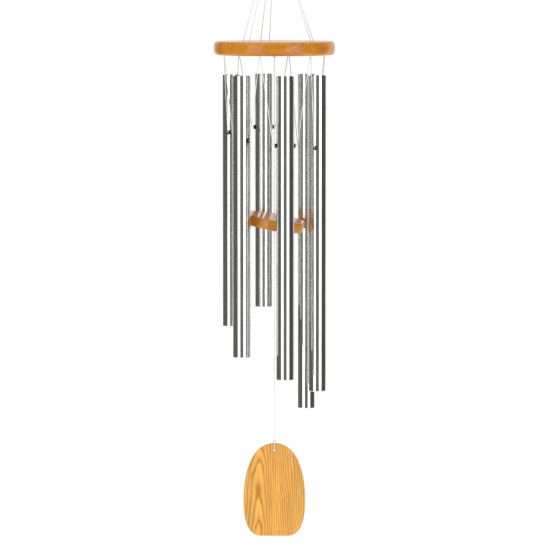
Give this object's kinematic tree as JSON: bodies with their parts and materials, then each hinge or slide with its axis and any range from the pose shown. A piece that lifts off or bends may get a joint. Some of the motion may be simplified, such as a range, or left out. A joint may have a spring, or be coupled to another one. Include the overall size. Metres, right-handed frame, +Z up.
{
  "type": "wind chime",
  "caption": "Hanging wind chime: tuned metal tubes slung in a circle under a round wooden platform, with a wooden disc clapper and an egg-shaped wooden sail on the centre cord.",
  "frame": {"origin": "the point inside the top of the hanging ring where a hook bears, on the chime's vertical axis", "axes": "+Z up along the centre cord, -Y out of the front face of the sail, +X to the right seen from the front"},
  "size_m": [0.194, 0.194, 1.0191],
  "materials": {
    "tube_metal": "satin anodised",
    "honey_wood": "gloss lacquered, honey stain",
    "pale_ash": "satin lacquered",
    "cord": "laid, matt",
    "rubber": "matt black",
    "steel": "polished"
  },
  "bodies": {
    "hanging_ring": {"hanging_ring": "steel"},
    "hanging_knot": {"hanging_knot": "cord"},
    "platform": {"suspension_cord_right": "cord", "suspension_cord_left": "cord", "suspension_cord_back": "cord", "platform": "honey_wood", "centre_knot": "cord", "lacing_knot_1": "cord", "lacing_knot_2": "cord", "lacing_knot_3": "cord", "lacing_knot_4": "cord", "lacing_knot_5": "cord", "lacing_knot_6": "cord"},
    "sling_1": {"sling_1": "cord"},
    "tube_1": {"tube_1": "tube_metal", "grommet_1_left": "rubber", "grommet_1_right": "rubber"},
    "sling_2": {"sling_2": "cord"},
    "tube_2": {"tube_2": "tube_metal", "grommet_2_left": "rubber", "grommet_2_right": "rubber"},
    "sling_3": {"sling_3": "cord"},
    "tube_3": {"tube_3": "tube_metal", "grommet_3_left": "rubber", "grommet_3_right": "rubber"},
    "sling_4": {"sling_4": "cord"},
    "tube_4": {"tube_4": "tube_metal", "grommet_4_left": "rubber", "grommet_4_right": "rubber"},
    "sling_5": {"sling_5": "cord"},
    "tube_5": {"tube_5": "tube_metal", "grommet_5_left": "rubber", "grommet_5_right": "rubber"},
    "sling_6": {"sling_6": "cord"},
    "tube_6": {"tube_6": "tube_metal", "grommet_6_left": "rubber", "grommet_6_right": "rubber"},
    "clapper_gimbal": {"swivel_knot": "cord"},
    "clapper_line": {"clapper_cord": "cord", "stop_knot": "cord"},
    "clapper": {"clapper": "honey_wood"},
    "sail_line": {"sail_cord": "cord"},
    "sail": {"sail_knot": "cord", "sail_loop": "cord", "sail": "pale_ash"}
  },
  "joints": [
    {"name": "chime_swing", "type": "hinge", "parent": "hanging_ring", "child": "hanging_knot", "pos_m": [0, 0, -0.0332], "axis": [1, 0, 0], "range_deg": [-15, 15]},
    {"name": "chime_twist", "type": "hinge", "parent": "hanging_knot", "child": "platform", "pos_m": [0, 0, -0.0411], "axis": [0, 0, 1], "range_deg": [-90, 90]},
    {"name": "tube_1_swing", "type": "hinge", "parent": "platform", "child": "sling_1", "pos_m": [0.05182, 0.0497, -0.243], "axis": [0.6921, -0.7218, 0], "range_deg": [-1.7, 12]},
    {"name": "tube_1_rock", "type": "hinge", "parent": "sling_1", "child": "tube_1", "pos_m": [0.05182, 0.0497, -0.39712], "axis": [-0.6921, 0.7218, 0], "range_deg": [-15, 2.8]},
    {"name": "tube_2_swing", "type": "hinge", "parent": "platform", "child": "sling_2", "pos_m": [0.06895, -0.02003, -0.243], "axis": [-0.279, -0.9603, 0], "range_deg": [-1.7, 12]},
    {"name": "tube_2_rock", "type": "hinge", "parent": "sling_2", "child": "tube_2", "pos_m": [0.06895, -0.02003, -0.38914], "axis": [0.279, 0.9603, 0], "range_deg": [-15, 2.8]},
    {"name": "tube_3_swing", "type": "hinge", "parent": "platform", "child": "sling_3", "pos_m": [0.01713, -0.06973, -0.243], "axis": [-0.9711, -0.2385, 0], "range_deg": [-1.7, 12]},
    {"name": "tube_3_rock", "type": "hinge", "parent": "sling_3", "child": "tube_3", "pos_m": [0.01713, -0.06973, -0.3839], "axis": [0.9711, 0.2385, 0], "range_deg": [-15, 2.8]},
    {"name": "tube_4_swing", "type": "hinge", "parent": "platform", "child": "sling_4", "pos_m": [-0.05182, -0.0497, -0.243], "axis": [-0.6921, 0.7218, 0], "range_deg": [-1.7, 12]},
    {"name": "tube_4_rock", "type": "hinge", "parent": "sling_4", "child": "tube_4", "pos_m": [-0.05182, -0.0497, -0.37614], "axis": [0.6921, -0.7218, 0], "range_deg": [-15, 2.8]},
    {"name": "tube_5_swing", "type": "hinge", "parent": "platform", "child": "sling_5", "pos_m": [-0.06895, 0.02003, -0.243], "axis": [0.279, 0.9603, 0], "range_deg": [-1.7, 12]},
    {"name": "tube_5_rock", "type": "hinge", "parent": "sling_5", "child": "tube_5", "pos_m": [-0.06895, 0.02003, -0.36611], "axis": [-0.279, -0.9603, 0], "range_deg": [-15, 2.8]},
    {"name": "tube_6_swing", "type": "hinge", "parent": "platform", "child": "sling_6", "pos_m": [-0.01713, 0.06973, -0.243], "axis": [0.9711, 0.2385, 0], "range_deg": [-1.7, 12]},
    {"name": "tube_6_rock", "type": "hinge", "parent": "sling_6", "child": "tube_6", "pos_m": [-0.01713, 0.06973, -0.35996], "axis": [-0.9711, -0.2385, 0], "range_deg": [-15, 2.8]},
    {"name": "clapper_fore_aft", "type": "hinge", "parent": "platform", "child": "clapper_gimbal", "pos_m": [0, 0, -0.2447], "axis": [1, 0, 0], "range_deg": [-1.6, 1.6]},
    {"name": "clapper_sideways", "type": "hinge", "parent": "clapper_gimbal", "child": "clapper_line", "pos_m": [0, 0, -0.2447], "axis": [0, 1, 0], "range_deg": [-1.6, 1.6]},
    {"name": "clapper_tilt", "type": "hinge", "parent": "clapper_line", "child": "clapper", "pos_m": [0, 0, -0.5095], "axis": [0, 1, 0], "range_deg": [-25, 5]},
    {"name": "sail_swing", "type": "hinge", "parent": "clapper_line", "child": "sail_line", "pos_m": [0, 0, -0.52448], "axis": [1, 0, 0], "range_deg": [-10, 10]},
    {"name": "sail_twist", "type": "hinge", "parent": "sail_line", "child": "sail", "pos_m": [0, 0, -0.866], "axis": [0, 0, 1], "continuous": true}
  ]
}
